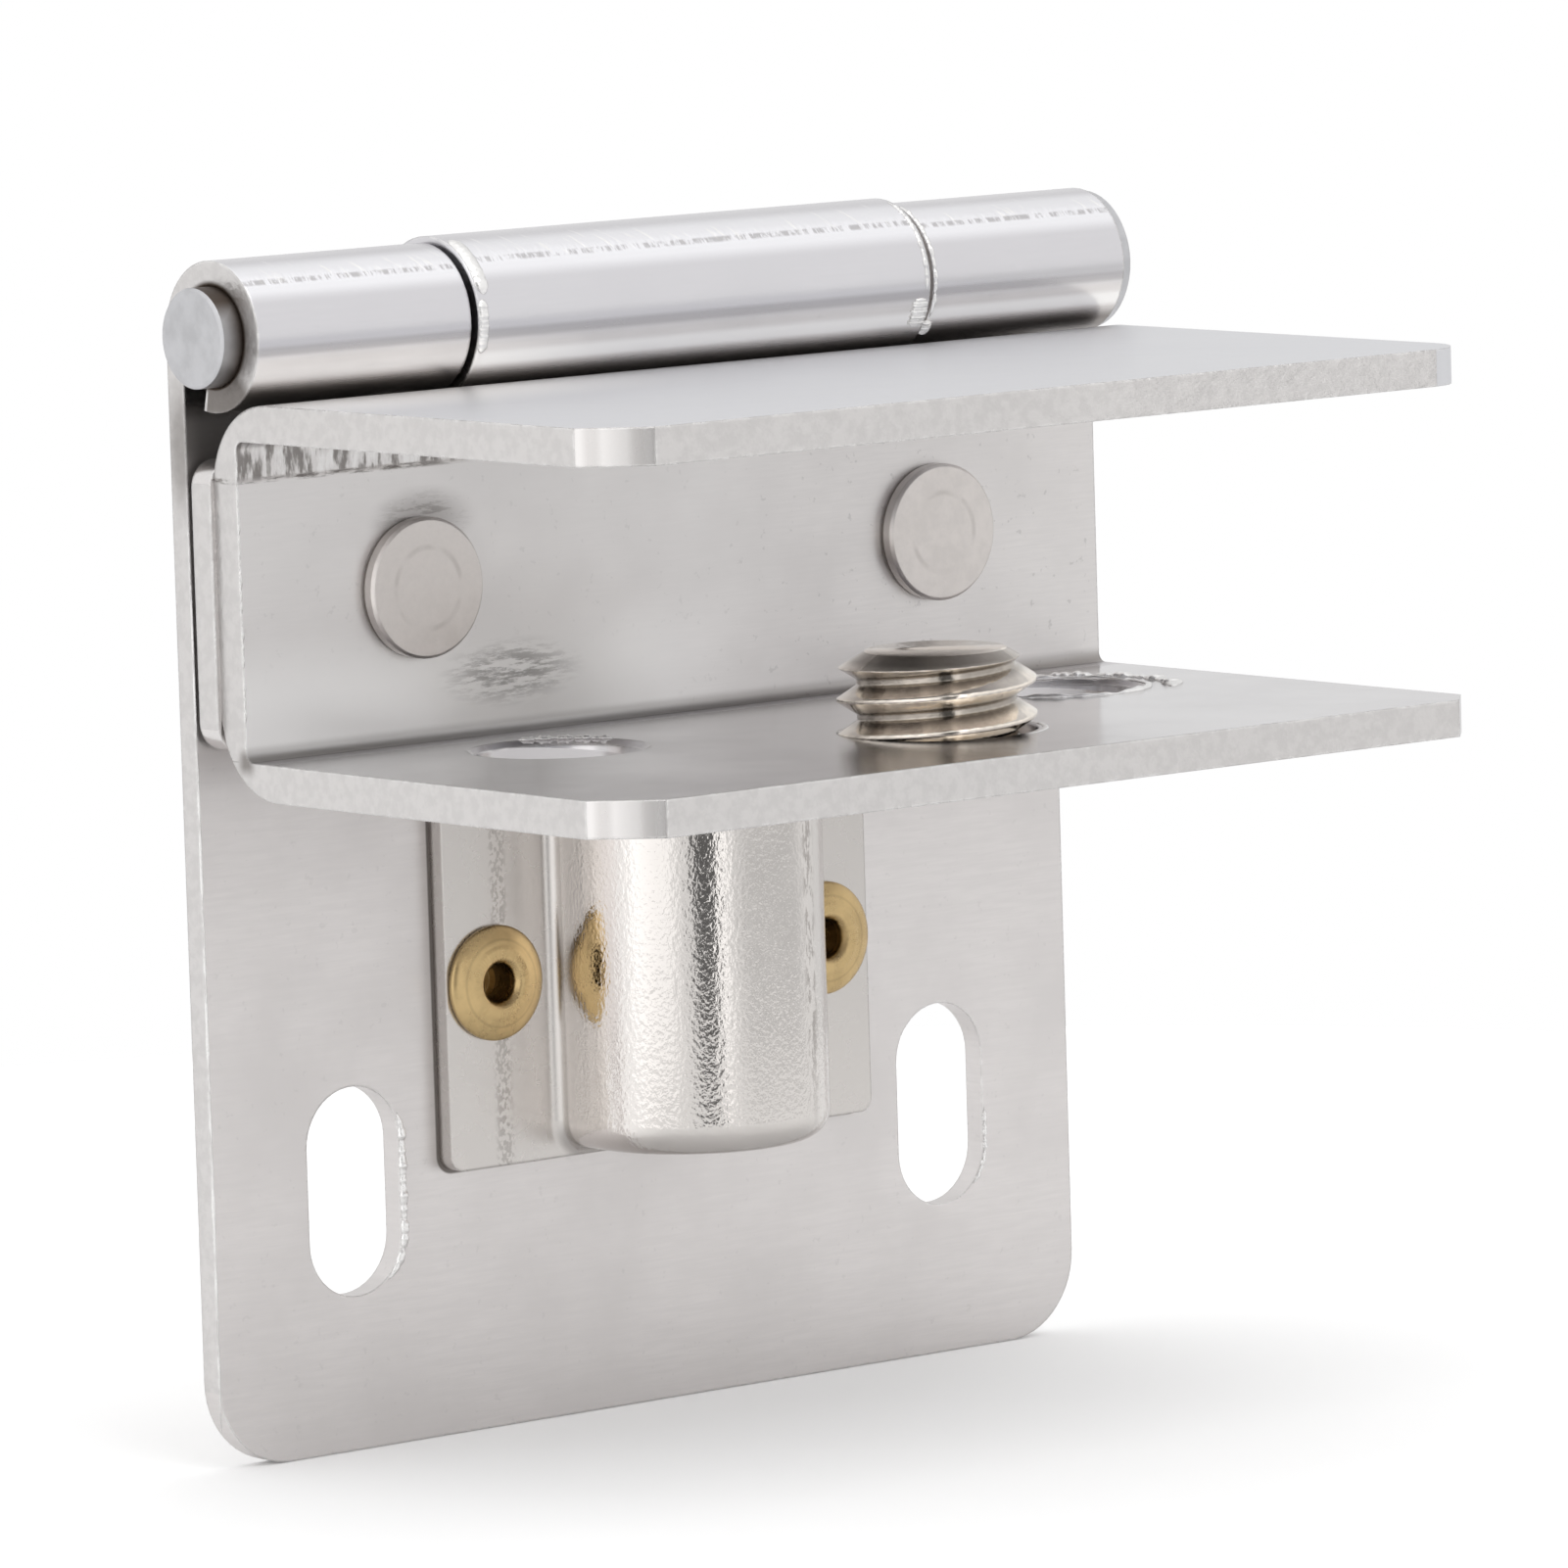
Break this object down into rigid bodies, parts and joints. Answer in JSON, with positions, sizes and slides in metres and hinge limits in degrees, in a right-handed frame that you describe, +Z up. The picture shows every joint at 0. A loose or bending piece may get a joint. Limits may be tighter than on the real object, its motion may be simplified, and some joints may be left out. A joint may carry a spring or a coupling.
{
  "type": "glass door hinge",
  "caption": "Sheet-metal hinge for an inset glass door: a slotted base plate with rolled knuckles, a channel that clamps the glass with a grub screw, and a catch housing.",
  "frame": {"origin": "on the back face of the base plate, midway across it, level with the centres of the screw slots", "axes": "+X along the hinge pin to the right as seen from the front, +Y out of the back face, +Z up towards the pin"},
  "size_m": [0.0468, 0.0278, 0.0488],
  "materials": {
    "plated_sheet": "satin nickel over mild steel sheet",
    "pin_steel": "dull sawn steel",
    "rivet_steel": "satin, faintly warm",
    "screw_steel": "bright nickel over steel, warm",
    "bright_nickel": "bright nickel with a light orange peel",
    "ferrite": "matt sintered",
    "rivet_brass": "tumbled brass"
  },
  "bodies": {
    "base": {"base_plate": "plated_sheet", "hinge_pin": "pin_steel", "catch_housing": "bright_nickel", "catch_magnet": "ferrite", "housing_rivet_left": "rivet_brass", "housing_rivet_right": "rivet_brass"},
    "door": {"hinge_leaf": "plated_sheet", "glass_clamp": "plated_sheet", "clamp_rivet_left": "rivet_steel", "clamp_rivet_right": "rivet_steel"},
    "screw": {"set_screw": "screw_steel"}
  },
  "joints": [
    {"name": "door_swing", "type": "hinge", "parent": "base", "child": "door", "pos_m": [0, -0.00301, 0.035], "axis": [-1, 0, 0], "range_deg": [0, 180]},
    {"name": "screw_travel", "type": "slide", "parent": "door", "child": "screw", "axis": [0, 0, 1], "range_m": [-0.0033, 0.0012]}
  ]
}
